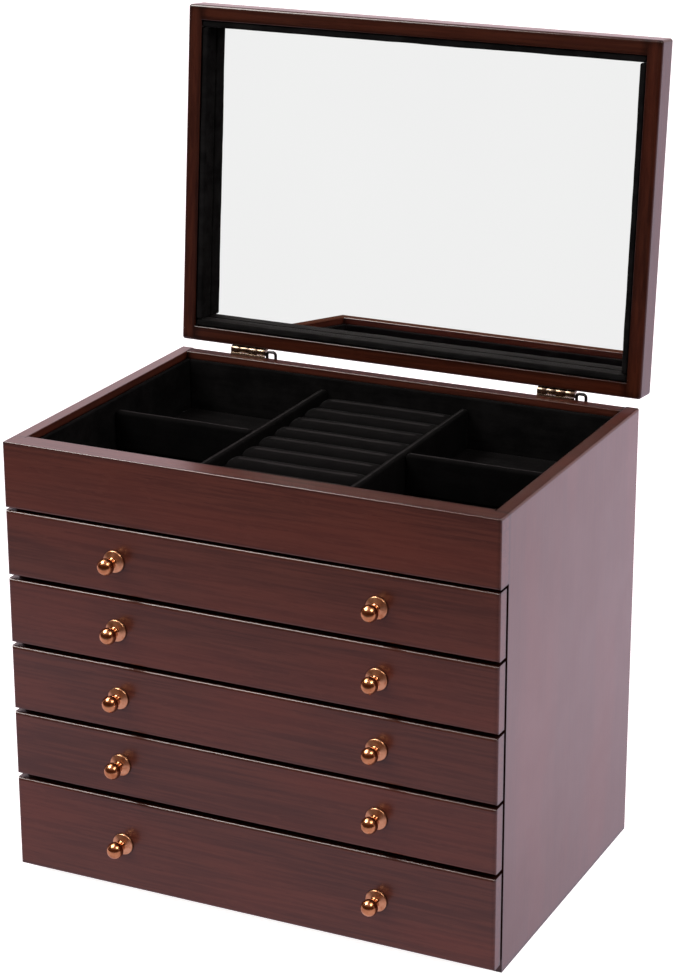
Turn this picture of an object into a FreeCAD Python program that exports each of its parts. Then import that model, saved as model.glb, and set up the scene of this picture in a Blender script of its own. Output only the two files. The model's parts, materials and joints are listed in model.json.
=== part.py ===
import FreeCAD, Part
import math
import os

os.makedirs("parts", exist_ok=True)

# Jewelry box of lacquered wood: a carcass with five drawers, an open tray on top
# and a mirror lid that stands open on two hinges.
# +X is to the right, +Y to the back, +Z up. The origin is the middle of the footprint, on the floor.

Vec = FreeCAD.Vector
X_AXIS = Vec(1, 0, 0)
Y_AXIS = Vec(0, 1, 0)
Z_AXIS = Vec(0, 0, 1)
ORIGIN = Vec(0, 0, 0)

# How far a cutting or joining solid runs past the face it meets, and how close counts as the same place
run_past = 1.0
same_place = 0.01

# Whole body
body_width = 300.0
body_depth = 207.0
body_height = 267.0
half_width = body_width / 2
front = -body_depth / 2
back = body_depth / 2

# Carcass boards
side_thick = 8.5
back_thick = 8.5
bottom_thick = 6.0
bottom_setback = 4.0
shelf_thick = 3.0
top_front_thick = 11.5
top_front_height = 39.0
top_front_tongue = 2.5
tray_floor_under = 1.0
front_round = 1.6
edge_round = 1.3
rim_round = 0.6
inner_half = half_width - side_thick
carcass_front = front + top_front_thick
inner_back = back - back_thick

# Drawer fronts, from the top one down
drawer_count = 5
drawer_front_thick = 8.7
drawer_front_height = 38.9
drawer_pitch = 41.1
first_front_top = 226.5
last_front_top = 61.7
last_front_bottom = 6.3

# Drawer boxes
run_gap = 0.3
drawer_side_gap = 1.0
drawer_wall = 5.0
drawer_bottom_thick = 3.0
drawer_wall_height = 31.0
last_wall_height = 47.0
drawer_lining_thick = 1.5
drawer_lining_drop = 1.0

# Knobs and their screws
knob_spread = 80.0
knob_base_radius = 6.4
knob_lip = 0.9
knob_rim_radius = 6.25
knob_rim_at = 1.3
knob_cone_radius = 5.9
knob_cone_at = 1.5
knob_collar_radius = 3.2
knob_collar_at = 2.7
knob_neck_radius = 2.5
knob_neck_at = 3.6
knob_ball_radius = 4.9
knob_ball_at = 9.7
knob_bore_depth = 6.0
knob_screw_radius = 1.5
knob_screw_head_radius = 3.0
knob_screw_head = 2.0
knob_screw_end_gap = 1.0
screw_clearance = 0.1

# Tray fittings
lining_thick = 3.0
lining_below_rim = 4.0
tray_pad_thick = 2.0
divider_thick = 5.5
divider_below_rim = 10.5
divider_round = 1.6
divider_x = 46.0
roll_count = 9
roll_below_rim = 13.5
roll_gap = 0.5
roll_round = 6.5

# Lid, drawn shut and then turned open
lid_depth = 205.0
lid_thick = 18.0
lid_seat = 0.2
lid_rail = 9.0
lid_round = 1.8
lid_recess = 12.5
mirror_thick = 2.0
lid_lining_thick = 4.3
lid_lining_drop = 0.7
lid_open_angle = 95.0

# Hinges
hinge_x = 101.0
hinge_axis_back = 2.3
hinge_axis_up = 2.3
barrel_radius = 2.2
pin_radius = 0.9
pin_clearance = 0.05
knuckle_count = 4
knuckle_length = 5.85
knuckle_gap = 0.16
barrel_start = -14.7
leaf_thick = 0.8
leaf_height = 13.0
leaf_margin = 0.5
leaf_over_rim = 0.5
leaf_above_axis = 1.7
web_clear = 0.2
web_back = 1.3
spring_wire = 0.95
spring_half_span = 2.9
spring_bend = 1.8
spring_leg = 9.0
spring_below_barrel = 0.4
leaf_screw_radius = 0.8
leaf_screw_head_radius = 1.8
leaf_screw_head = 0.6
leaf_screw_length = 6.5
leaf_screw_spots = (-9.75, 3.75)
leaf_screw_drop = 8.0

axis_y = back + hinge_axis_back
axis_z = body_height + hinge_axis_up
lid_under = body_height + lid_seat


def block(x0, x1, y0, y1, z0, z1):
    """A box between two corners."""
    return Part.makeBox(x1 - x0, y1 - y0, z1 - z0, Vec(x0, y0, z0))


def edge_lies(edge, place):
    """True where both ends of the edge have the stated coordinates."""
    ends = [vertex.Point for vertex in edge.Vertexes]
    return all(abs(getattr(end, axis) - value) < same_place for end in ends for axis, value in place.items())


def soften(solid, radius, *places):
    """Round the edges that lie at the stated places."""
    edges = [edge for edge in solid.Edges if any(edge_lies(edge, place) for place in places)]
    return solid.makeFillet(radius, edges)


def rod(radius, start, direction, length):
    """A round bar from a point along a direction."""
    return Part.makeCylinder(radius, length, start, direction)


def save(node, solids):
    """Write one node, which may hold several separate solids."""
    shape = solids[0] if len(solids) == 1 else Part.makeCompound(solids)
    shape.exportStep("parts/" + node + ".step")


def mirrored(solid):
    """The same solid on the other side of the middle plane."""
    return solid.mirror(ORIGIN, X_AXIS)


# ---------------------------------------------------------------- carcass

def side_panel():
    """The right side panel, rounded along its top and its rear corner."""
    panel = block(inner_half, half_width, carcass_front, back, 0, body_height)
    panel = soften(panel, edge_round, {"x": half_width, "z": body_height}, {"x": half_width, "y": back})
    return soften(panel, rim_round, {"x": inner_half, "z": body_height})


def back_panel():
    panel = block(-inner_half, inner_half, inner_back, back, 0, body_height)
    panel = soften(panel, edge_round, {"y": back, "z": body_height})
    return soften(panel, rim_round, {"y": inner_back, "z": body_height})


def bottom_panel():
    return block(-inner_half, inner_half, carcass_front + bottom_setback, inner_back, 0, bottom_thick)


def front_places(bottom):
    """The edges round a front board's outer face, apart from the top one."""
    return (
        {"y": front, "z": bottom},
        {"y": front, "x": -half_width},
        {"y": front, "x": half_width},
    )


tray_floor_bottom = body_height - top_front_height - tray_floor_under
tray_floor_top = tray_floor_bottom + shelf_thick
rim_front_inner = carcass_front + top_front_tongue


def top_front():
    """The fixed front over the drawers, with a tongue that fills in between the sides."""
    bottom = body_height - top_front_height
    board = block(-half_width, half_width, front, carcass_front, bottom, body_height)
    ends = ({"x": -half_width, "z": body_height}, {"x": half_width, "z": body_height})
    board = soften(board, edge_round, *front_places(bottom), *ends)
    board = soften(board, rim_round, {"y": front, "z": body_height})
    tongue = block(
        -inner_half, inner_half, carcass_front - run_past, rim_front_inner, tray_floor_top, body_height
    )
    tongue = soften(tongue, rim_round, {"y": rim_front_inner, "z": body_height})
    return board.fuse(tongue).removeSplitter()


def tray_floor():
    return block(-inner_half, inner_half, carcass_front, inner_back, tray_floor_bottom, tray_floor_top)


def front_span(index):
    """Bottom and top of a drawer front, counted from 0 at the top."""
    if index == drawer_count - 1:
        return last_front_bottom, last_front_top
    top = first_front_top - index * drawer_pitch
    return top - drawer_front_height, top


def shelf_under(index):
    """The shelf below a drawer, centred on the gap between two fronts."""
    above = front_span(index)[0]
    below = front_span(index + 1)[1]
    middle = (above + below) / 2
    bottom = middle - shelf_thick / 2
    return block(-inner_half, inner_half, carcass_front, inner_back, bottom, bottom + shelf_thick)


# ---------------------------------------------------------------- top tray

lining_top = body_height - lining_below_rim
pad_top = tray_floor_top + tray_pad_thick
divider_top = body_height - divider_below_rim
tray_half = inner_half - lining_thick
tray_front = rim_front_inner + lining_thick
tray_back = inner_back - lining_thick
tray_middle = (tray_front + tray_back) / 2


def tray_lining():
    """Four velvet-wrapped boards round the inside of the tray."""
    side = block(tray_half, inner_half, rim_front_inner, inner_back, tray_floor_top, lining_top)
    front_board = block(-tray_half, tray_half, rim_front_inner, tray_front, tray_floor_top, lining_top)
    back_board = block(-tray_half, tray_half, tray_back, inner_back, tray_floor_top, lining_top)
    return [side, mirrored(side), front_board, back_board]


def tray_pad():
    return block(-tray_half, tray_half, tray_front, tray_back, tray_floor_top, pad_top)


def long_divider():
    x0 = divider_x - divider_thick / 2
    x1 = divider_x + divider_thick / 2
    board = block(x0, x1, tray_front, tray_back, pad_top, divider_top)
    return soften(board, divider_round, {"x": x0, "z": divider_top}, {"x": x1, "z": divider_top})


def cross_divider():
    x0 = divider_x + divider_thick / 2
    y0 = tray_middle - divider_thick / 2
    y1 = tray_middle + divider_thick / 2
    board = block(x0, tray_half, y0, y1, pad_top, divider_top)
    return soften(board, divider_round, {"y": y0, "z": divider_top}, {"y": y1, "z": divider_top})


def ring_roll(index):
    """One soft roll of the row that grips rings in the gaps between rolls."""
    pitch = (tray_back - tray_front) / roll_count
    half = divider_x - divider_thick / 2 - roll_gap / 2
    y0 = tray_front + index * pitch + roll_gap / 2
    y1 = y0 + pitch - roll_gap
    top = body_height - roll_below_rim
    roll = block(-half, half, y0, y1, pad_top, top)
    return soften(roll, roll_round, {"y": y0, "z": top}, {"y": y1, "z": top})


# ---------------------------------------------------------------- drawers

drawer_box_front = front + drawer_front_thick
drawer_box_back = inner_back - run_gap
drawer_outer = inner_half - drawer_side_gap
drawer_inner = drawer_outer - drawer_wall
drawer_inner_back = drawer_box_back - drawer_wall


def support_top(index):
    """Top of the board that a drawer runs on."""
    if index == drawer_count - 1:
        return bottom_thick
    return shelf_under(index).BoundBox.ZMax


def knob_spots(index):
    """The places of a drawer's two knobs on the outer face."""
    bottom, top = front_span(index)
    height = (bottom + top) / 2
    return [Vec(side * knob_spread, front, height) for side in (-1, 1)]


def drawer_front(index):
    """A front board, drilled and counterbored from behind for the knob screws."""
    bottom, top = front_span(index)
    board = block(-half_width, half_width, front, drawer_box_front, bottom, top)
    board = soften(board, front_round, *front_places(bottom), {"y": front, "z": top})
    head_depth = knob_screw_head + screw_clearance
    for spot in knob_spots(index):
        board = board.cut(rod(knob_screw_radius + screw_clearance, spot, Y_AXIS, drawer_front_thick))
        seat = Vec(spot.x, drawer_box_front - head_depth, spot.z)
        board = board.cut(rod(knob_screw_head_radius + screw_clearance, seat, Y_AXIS, head_depth))
    return board


def drawer_levels(index):
    """Underside and top of a drawer's walls."""
    bottom = support_top(index) + run_gap
    height = last_wall_height if index == drawer_count - 1 else drawer_wall_height
    return bottom, bottom + height


def drawer_sides(index):
    bottom, top = drawer_levels(index)
    wall = block(drawer_inner, drawer_outer, drawer_box_front, drawer_box_back, bottom, top)
    return [wall, mirrored(wall)]


def drawer_back(index):
    bottom, top = drawer_levels(index)
    return block(-drawer_inner, drawer_inner, drawer_inner_back, drawer_box_back, bottom, top)


def drawer_bottom(index):
    bottom = drawer_levels(index)[0]
    top = bottom + drawer_bottom_thick
    return block(-drawer_inner, drawer_inner, drawer_box_front, drawer_inner_back, bottom, top)


def drawer_lining(index):
    """The velvet skin over the floor and the four walls."""
    bottom, top = drawer_levels(index)
    floor = bottom + drawer_bottom_thick
    skin = drawer_lining_thick
    outside = block(
        -drawer_inner, drawer_inner, drawer_box_front, drawer_inner_back, floor, top - drawer_lining_drop
    )
    inside = block(
        -drawer_inner + skin, drawer_inner - skin, drawer_box_front + skin, drawer_inner_back - skin,
        floor + skin, top
    )
    return outside.cut(inside)


def knob_outline():
    """Half of a turned knob and its bore: radius in X against distance out from the board in Z."""
    bore = knob_screw_radius + screw_clearance
    bore_mouth = Vec(bore, 0, 0)
    bore_corner = Vec(bore, 0, knob_bore_depth)
    bore_end = Vec(0, 0, knob_bore_depth)
    foot = Vec(knob_base_radius, 0, 0)
    lip = Vec(knob_base_radius, 0, knob_lip)
    rim = Vec(knob_rim_radius, 0, knob_rim_at)
    cone = Vec(knob_cone_radius, 0, knob_cone_at)
    collar = Vec(knob_collar_radius, 0, knob_collar_at)
    neck = Vec(knob_neck_radius, 0, knob_neck_at)
    waist_turn = math.asin(knob_neck_radius / knob_ball_radius)
    ball_foot = Vec(knob_neck_radius, 0, knob_ball_at - knob_ball_radius * math.cos(waist_turn))
    ball_side = Vec(knob_ball_radius, 0, knob_ball_at)
    tip = Vec(0, 0, knob_ball_at + knob_ball_radius)
    edges = [
        Part.makeLine(bore_mouth, foot),
        Part.makeLine(foot, lip),
        Part.Arc(lip, rim, cone).toShape(),
        Part.makeLine(cone, collar),
        Part.makeLine(collar, neck),
        Part.makeLine(neck, ball_foot),
        Part.Arc(ball_foot, ball_side, tip).toShape(),
        Part.makeLine(tip, bore_end),
        Part.makeLine(bore_end, bore_corner),
        Part.makeLine(bore_corner, bore_mouth),
    ]
    return Part.Wire(Part.__sortEdges__(edges))


def knob(spot):
    """A turned knob: low cone for a foot, neck and ball."""
    turned = Part.Face(knob_outline()).revolve(ORIGIN, Z_AXIS, 360)
    turned.rotate(ORIGIN, X_AXIS, 90)
    turned.translate(spot)
    return turned


def knob_screw(spot):
    """The screw that holds a knob, with its head sunk in the back of the board."""
    tip = Vec(spot.x, spot.y - knob_bore_depth + knob_screw_end_gap, spot.z)
    head_start = drawer_box_front - knob_screw_head
    shank = rod(knob_screw_radius, tip, Y_AXIS, head_start - tip.y + knob_screw_head / 2)
    head = rod(knob_screw_head_radius, Vec(spot.x, head_start, spot.z), Y_AXIS, knob_screw_head)
    return shank.fuse(head).removeSplitter()


# ---------------------------------------------------------------- lid, drawn shut

lid_front = back - lid_depth
lid_top = lid_under + lid_thick
mirror_under = lid_under + lid_recess
mirror_top = mirror_under + mirror_thick
glass_half = half_width - lid_rail
glass_front = lid_front + lid_rail
glass_back = back - lid_rail


def swing(solid):
    """Turn a piece of the shut lid to the open rest pose."""
    turned = solid.copy()
    turned.rotate(Vec(0, axis_y, axis_z), X_AXIS, -lid_open_angle)
    return turned


def lid_frame():
    """The four rails as one softened ring, before it is cut into rails."""
    outside = block(-half_width, half_width, lid_front, back, lid_under, lid_top)
    outside = outside.makeFillet(lid_round, outside.Edges)
    low = lid_under - run_past
    high = lid_top + run_past
    inside = block(-glass_half, glass_half, glass_front, glass_back, low, high)
    return soften(
        outside.cut(inside), rim_round,
        {"x": -glass_half, "z": lid_under}, {"x": glass_half, "z": lid_under},
        {"y": glass_front, "z": lid_under}, {"y": glass_back, "z": lid_under}
    )


def lid_rails():
    """The front rail, the back rail and the two side rails, which run the lid's full depth."""
    frame = lid_frame()
    middle = (lid_front + back) / 2
    side = block(glass_half, half_width, lid_front, back, lid_under, lid_top)
    front_part = block(-glass_half, glass_half, lid_front, middle, lid_under, lid_top)
    back_part = block(-glass_half, glass_half, middle, back, lid_under, lid_top)
    right = frame.common(side)
    return frame.common(front_part), frame.common(back_part), [right, mirrored(right)]


def lid_panel():
    return block(-glass_half, glass_half, glass_front, glass_back, mirror_top, lid_top)


def lid_mirror():
    return block(-glass_half, glass_half, glass_front, glass_back, mirror_under, mirror_top)


def lid_lining():
    """Four velvet-wrapped boards round the mirror."""
    bottom = lid_under + lid_lining_drop
    board = lid_lining_thick
    front_board = block(-glass_half, glass_half, glass_front, glass_front + board, bottom, mirror_under)
    back_board = block(-glass_half, glass_half, glass_back - board, glass_back, bottom, mirror_under)
    side = block(
        glass_half - board, glass_half, glass_front + board, glass_back - board, bottom, mirror_under
    )
    return [front_board, back_board, side, mirrored(side)]


# ---------------------------------------------------------------- hinges

barrel_length = knuckle_count * knuckle_length


def knuckle(hinge, index):
    """One segment of the hinge barrel."""
    x0 = hinge + barrel_start + index * knuckle_length + knuckle_gap / 2
    length = knuckle_length - knuckle_gap
    return rod(barrel_radius, Vec(x0, axis_y, axis_z), X_AXIS, length)


def web(hinge, index, z0, z1):
    """The rolled strip between a leaf and a knuckle."""
    x0 = hinge + barrel_start + index * knuckle_length + knuckle_gap / 2
    return block(x0, x0 + knuckle_length - knuckle_gap, back + web_clear, back + web_back, z0, z1)


def barrel_bore(hinge):
    """The hole that runs the length of the barrel."""
    start = Vec(hinge + barrel_start - run_past, axis_y, axis_z)
    return rod(pin_radius + pin_clearance, start, X_AXIS, barrel_length + 2 * run_past)


def leaf_screw_points(hinge, z):
    return [Vec(hinge + spot, back, z) for spot in leaf_screw_spots]


def drill(solid, points, radius, direction, depth):
    """Drill the solid at each point."""
    for point in points:
        solid = solid.cut(rod(radius, point, direction, depth))
    return solid


body_screw_z = body_height - leaf_screw_drop
lid_screw_z = axis_z + leaf_screw_drop
body_leaf_top = body_height + leaf_over_rim
lid_leaf_bottom = axis_z + leaf_above_axis


def body_leaf(hinge):
    """The leaf on the back panel, with the even knuckles and a lower seat for the spring."""
    x0 = hinge + barrel_start
    x1 = x0 + barrel_length
    outer = back + leaf_thick
    leaf = block(x0, x1, back, outer, body_leaf_top - leaf_height, body_leaf_top)
    spring_end = x1 + 2 * (spring_half_span + spring_wire) + leaf_margin
    seat_top = body_height - leaf_margin
    leaf = leaf.fuse(block(x1, spring_end, back, outer, body_leaf_top - leaf_height, seat_top))
    for index in range(0, knuckle_count, 2):
        leaf = leaf.fuse(web(hinge, index, body_leaf_top - run_past, axis_z)).fuse(knuckle(hinge, index))
    leaf = leaf.cut(barrel_bore(hinge)).removeSplitter()
    hole = leaf_screw_radius + pin_clearance
    return drill(leaf, leaf_screw_points(hinge, body_screw_z), hole, Y_AXIS, leaf_thick)


def lid_leaf(hinge):
    """The leaf on the lid's back rail, with the odd knuckles."""
    x0 = hinge + barrel_start
    top = lid_top - lid_round - leaf_margin
    leaf = block(x0, x0 + barrel_length, back, back + leaf_thick, lid_leaf_bottom, top)
    for index in range(1, knuckle_count, 2):
        leaf = leaf.fuse(web(hinge, index, axis_z, lid_leaf_bottom + run_past)).fuse(knuckle(hinge, index))
    leaf = leaf.cut(barrel_bore(hinge)).removeSplitter()
    hole = leaf_screw_radius + pin_clearance
    return drill(leaf, leaf_screw_points(hinge, lid_screw_z), hole, Y_AXIS, leaf_thick)


def hinge_pin(hinge):
    return rod(pin_radius, Vec(hinge + barrel_start, axis_y, axis_z), X_AXIS, barrel_length)


def leaf_screw(point):
    """A small screw through a leaf into the wood, with a low round head."""
    shank = rod(leaf_screw_radius, Vec(point.x, point.y - leaf_screw_length, point.z), Y_AXIS,
                leaf_screw_length + leaf_thick + leaf_screw_head / 2)
    head = rod(leaf_screw_head_radius, Vec(point.x, point.y + leaf_thick, point.z), Y_AXIS, leaf_screw_head)
    head = soften(head, leaf_screw_head / 2, {"y": point.y + leaf_thick + leaf_screw_head})
    return shank.fuse(head).removeSplitter()


def stop_spring(hinge):
    """A bent wire beside the barrel: two legs on the leaf, joined over the top by a flat bridge."""
    left = hinge + barrel_start + barrel_length + spring_wire
    right = left + 2 * spring_half_span
    y = back + leaf_thick + spring_wire
    top = axis_z + barrel_radius - spring_wire - spring_below_barrel
    shoulder = top - spring_bend
    foot = shoulder - spring_leg
    turn = spring_bend * (1 - math.sqrt(0.5))
    left_foot = Vec(left, y, foot)
    left_shoulder = Vec(left, y, shoulder)
    left_corner = Vec(left + turn, y, top - turn)
    left_top = Vec(left + spring_bend, y, top)
    right_top = Vec(right - spring_bend, y, top)
    right_corner = Vec(right - turn, y, top - turn)
    right_shoulder = Vec(right, y, shoulder)
    right_foot = Vec(right, y, foot)
    path = Part.Wire([
        Part.makeLine(left_foot, left_shoulder),
        Part.Arc(left_shoulder, left_corner, left_top).toShape(),
        Part.makeLine(left_top, right_top),
        Part.Arc(right_top, right_corner, right_shoulder).toShape(),
        Part.makeLine(right_shoulder, right_foot),
    ])
    section = Part.Wire([Part.makeCircle(spring_wire, left_foot, Z_AXIS)])
    return path.makePipeShell([section], True, True)


def wood_screw_holes(solid, hinge, z):
    """Pilot holes for the leaf screws."""
    hole = leaf_screw_radius + pin_clearance
    return drill(solid, leaf_screw_points(hinge, z), hole, -Y_AXIS, leaf_screw_length + pin_clearance)


# ---------------------------------------------------------------- nodes

hinges = (-hinge_x, hinge_x)

side = side_panel()
save("side_panel_right", [side])
save("side_panel_left", [mirrored(side)])
drilled_back = back_panel()
for hinge in hinges:
    drilled_back = wood_screw_holes(drilled_back, hinge, body_screw_z)
save("back_panel", [drilled_back])
save("bottom_panel", [bottom_panel()])
save("top_front", [top_front()])
save("tray_floor", [tray_floor()])
save("drawer_shelves", [shelf_under(index) for index in range(drawer_count - 1)])

save("tray_lining", tray_lining())
save("tray_pad", [tray_pad()])
save("tray_divider_right", [long_divider()])
save("tray_divider_left", [mirrored(long_divider())])
save("tray_cross_dividers", [cross_divider(), mirrored(cross_divider())])
save("ring_rolls", [ring_roll(index) for index in range(roll_count)])

for index in range(drawer_count):
    name = "drawer_" + str(index + 1) + "_"
    save(name + "front", [drawer_front(index)])
    save(name + "sides", drawer_sides(index))
    save(name + "back", [drawer_back(index)])
    save(name + "bottom", [drawer_bottom(index)])
    save(name + "lining", [drawer_lining(index)])
    save(name + "knobs", [knob(spot) for spot in knob_spots(index)])
    save(name + "knob_screws", [knob_screw(spot) for spot in knob_spots(index)])

front_rail, back_rail, side_rails = lid_rails()
for hinge in hinges:
    back_rail = wood_screw_holes(back_rail, hinge, lid_screw_z)
save("lid_front_rail", [swing(front_rail)])
save("lid_back_rail", [swing(back_rail)])
save("lid_side_rails", [swing(rail) for rail in side_rails])
save("lid_panel", [swing(lid_panel())])
save("lid_mirror", [swing(lid_mirror())])
save("lid_lining", [swing(board) for board in lid_lining()])

save("hinge_body_leaves", [body_leaf(hinge) for hinge in hinges])
save("hinge_lid_leaves", [swing(lid_leaf(hinge)) for hinge in hinges])
save("hinge_pins", [hinge_pin(hinge) for hinge in hinges])
save("hinge_stop_springs", [stop_spring(hinge) for hinge in hinges])
body_screws = [leaf_screw(point) for hinge in hinges for point in leaf_screw_points(hinge, body_screw_z)]
save("hinge_body_screws", body_screws)
lid_screws = [leaf_screw(point) for hinge in hinges for point in leaf_screw_points(hinge, lid_screw_z)]
save("hinge_lid_screws", [swing(screw) for screw in lid_screws])
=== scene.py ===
import json
import math
import random

import bpy
from mathutils import Matrix, Vector, noise


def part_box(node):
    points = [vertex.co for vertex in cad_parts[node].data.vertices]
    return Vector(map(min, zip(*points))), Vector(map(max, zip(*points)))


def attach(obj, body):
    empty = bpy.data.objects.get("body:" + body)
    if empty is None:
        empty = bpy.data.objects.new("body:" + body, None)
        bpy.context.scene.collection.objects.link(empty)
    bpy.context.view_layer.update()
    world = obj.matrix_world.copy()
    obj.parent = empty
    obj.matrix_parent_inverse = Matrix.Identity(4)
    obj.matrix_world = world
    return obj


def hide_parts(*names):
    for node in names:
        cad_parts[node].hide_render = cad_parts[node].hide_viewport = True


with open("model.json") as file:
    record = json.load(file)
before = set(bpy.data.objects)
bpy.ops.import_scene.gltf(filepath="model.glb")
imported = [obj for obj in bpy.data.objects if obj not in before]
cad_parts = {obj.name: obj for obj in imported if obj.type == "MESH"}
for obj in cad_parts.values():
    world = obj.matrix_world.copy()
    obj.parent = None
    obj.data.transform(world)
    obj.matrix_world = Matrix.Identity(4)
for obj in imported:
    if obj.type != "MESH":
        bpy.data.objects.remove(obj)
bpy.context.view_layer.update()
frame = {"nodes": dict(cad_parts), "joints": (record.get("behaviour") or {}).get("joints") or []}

MM = 0.001
DRAWERS = range(1, 6)
record_joints = {joint["name"]: joint for joint in frame["joints"]}
hinge_joint = record_joints["lid_hinge"]
hinge_axis = Vector(hinge_joint["pos_m"])
lid_turn = math.radians(hinge_joint["range_deg"][1])


# ---------------------------------------------------------------- node trees

class Net:
    """Short calls for wiring the nodes of one tree."""

    def __init__(self, tree):
        self.tree = tree
        tree.nodes.clear()

    def put(self, socket, value):
        if isinstance(value, bpy.types.NodeSocket):
            self.tree.links.new(value, socket)
        else:
            socket.default_value = value

    def node(self, kind, inputs=None, **settings):
        made = self.tree.nodes.new("ShaderNode" + kind)
        for name, value in settings.items():
            setattr(made, name, value)
        for key, value in (inputs or {}).items():
            self.put(made.inputs[key], value)
        return made

    def maths(self, operation, first, second=0.0, clamp=False):
        made = self.node("Math", {0: first, 1: second}, operation=operation, use_clamp=clamp)
        return made.outputs[0]

    def spread(self, value, low, high, to_low=0.0, to_high=1.0):
        """Stretch the part of value between low and high, with soft ends."""
        made = self.node(
            "MapRange",
            {"Value": value, "From Min": low, "From Max": high, "To Min": to_low, "To Max": to_high},
            interpolation_type="SMOOTHSTEP",
        )
        return made.outputs[0]

    def mix(self, factor, first, second, blend="MIX"):
        made = self.node("Mix", {0: factor, 6: first, 7: second}, data_type="RGBA", blend_type=blend)
        return made.outputs[2]

    def scaled(self, vector, x, y, z):
        made = self.node("VectorMath", {0: vector, 1: (x, y, z)}, operation="MULTIPLY")
        return made.outputs[0]

    def cloud(self, vector, scale=1.0, detail=2.0, roughness=0.5, distortion=0.0):
        made = self.node(
            "TexNoise",
            {"Vector": vector, "Scale": scale, "Detail": detail, "Roughness": roughness,
             "Distortion": distortion},
        )
        return made.outputs[0]

    def bump(self, height, strength, depth, under=None):
        made = self.node("Bump", {"Height": height, "Strength": strength, "Distance": depth})
        if under is not None:
            self.put(made.inputs["Normal"], under)
        return made.outputs[0]


def colour(red, green, blue):
    return (red, green, blue, 1.0)


BLACK = colour(0.0, 0.0, 0.0)
WHITE = colour(1.0, 1.0, 1.0)


def new_material(name):
    """A material, its node shorthand and its shader."""
    material = bpy.data.materials.new(name)
    material.use_nodes = True
    net = Net(material.node_tree)
    shader = net.node("BsdfPrincipled")
    output = net.node("OutputMaterial")
    net.put(output.inputs["Surface"], shader.outputs[0])
    return material, net, shader


def set_shader(net, shader, **values):
    """Set the shader's sockets; Base_Color stands for Base Color."""
    for key, value in values.items():
        net.put(shader.inputs[key.replace("_", " ")], value)


# ---------------------------------------------------------------- materials

GRAIN_TURN = {
    "x": (0.0, 0.0, 0.0),
    "y": (0.0, 0.0, math.radians(-90)),
    "z": (0.0, math.radians(90), 0.0),
}


# How often each pattern in the wood repeats, per metre: along the grain, across it and through it
PATCHES = (5, 22, 22)
FIGURE = (3, 95, 95)
FIBRES = (18, 520, 520)
PORES = (110, 1900, 1900)
FLECKS = (75, 420, 420)

RING_SHARE = 0.2
PORE_DEPTH = 0.45
CREVICE = 6 * MM
SAMPLES = 6


def wood(name, grain, seed, shades, lacquer, coat_rough, boldness=1.0, shading=None):
    """Stained wood under lacquer, grain along one axis.

    Shades are the dark, light and red stains. Shading, where there is any, is how much darker
    the colour is at the edges of the piece, and how far in from them that reaches; it is partly a
    shading stain and partly painted shade for the dark that the rounded edges reflect.
    """
    dark, light, red = (colour(*shade) for shade in shades)
    material, net, shader = new_material(name)
    spot = random.Random(seed)
    shift = tuple(spot.uniform(-3, 3) for _ in range(3))
    place = net.node("TexCoord").outputs["Object"]
    turned = net.node(
        "Mapping", {"Vector": place, "Location": shift, "Rotation": GRAIN_TURN[grain]}
    ).outputs[0]

    patches = net.cloud(net.scaled(turned, *PATCHES), detail=2)
    figure = net.cloud(net.scaled(turned, *FIGURE), detail=4, roughness=0.55, distortion=0.35)
    fibres = net.cloud(net.scaled(turned, *FIBRES), detail=4, roughness=0.6)
    dashes = net.cloud(net.scaled(turned, *PORES), detail=2)
    flecks = net.cloud(net.scaled(turned, *FLECKS), detail=1, distortion=1.4)

    rings = net.spread(figure, 0.36, 0.66)
    streaks = net.spread(fibres, 0.36, 0.64)
    depth = net.maths("MULTIPLY", rings, RING_SHARE)
    depth = net.maths("ADD", depth, net.maths("MULTIPLY", streaks, 1 - RING_SHARE))
    depth = net.maths("ADD", 0.5 - 0.5 * boldness, net.maths("MULTIPLY", depth, boldness))
    base = net.mix(depth, dark, light)
    base = net.mix(net.spread(patches, 0.42, 0.66, 0.0, 0.75), base, net.mix(0.5, base, red))
    fleck_share = net.maths("MULTIPLY", net.spread(flecks, 0.58, 0.70), net.spread(patches, 0.40, 0.58))
    base = net.mix(net.maths("MULTIPLY", fleck_share, 0.45), base, light)
    pores = net.spread(dashes, 0.62, 0.70)
    pore_tone = colour(*(PORE_DEPTH * part for part in shades[0]))
    base = net.mix(net.maths("MULTIPLY", pores, PORE_DEPTH * boldness), base, pore_tone)

    # Painted shade: the colour goes nearly black in gaps and crevices, where little light reaches.
    painted_crevice_shade = net.node("AmbientOcclusion", {"Distance": CREVICE}, samples=SAMPLES).outputs["AO"]
    base = net.mix(net.spread(painted_crevice_shade, 0.30, 0.85), net.mix(0.95, base, BLACK), base)

    # Darker towards the edges: partly a shading stain, partly painted shade for the dark the rounded edges
    # reflect.
    if shading:
        edge_dark, edge_width = shading
        thickness = net.node(
            "AmbientOcclusion", {"Distance": edge_width}, samples=SAMPLES, inside=True, only_local=True
        ).outputs["AO"]
        edge_stain_and_shade = net.mix(edge_dark, base, net.mix(0.85, base, BLACK))
        base = net.mix(net.spread(thickness, 0.48, 0.94), edge_stain_and_shade, base)

    smear = net.cloud(turned, scale=38, detail=3)
    roughness = net.maths("ADD", 0.30, net.maths("MULTIPLY", smear, 0.16))
    coat = net.maths("ADD", coat_rough - 0.03, net.maths("MULTIPLY", smear, 0.06))
    relief = net.maths("SUBTRACT", net.maths("MULTIPLY", streaks, 0.4), pores)
    grain_bump = net.bump(relief, 0.10 * boldness, 0.00015)
    skin = net.bump(net.cloud(turned, scale=210, detail=1), 0.035, 0.0003)
    set_shader(
        net, shader, Base_Color=base, Roughness=roughness, Normal=grain_bump, Coat_Roughness=coat,
        Coat_Normal=skin, Coat_Weight=lacquer, Coat_IOR=1.4, Specular_IOR_Level=0.05,
    )
    return material


PILE_LOW = (0.0011, 0.0011, 0.0012)
PILE_HIGH = (0.0054, 0.0054, 0.0055)
SHEEN_TINT = (0.62, 0.64, 0.66)


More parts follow.
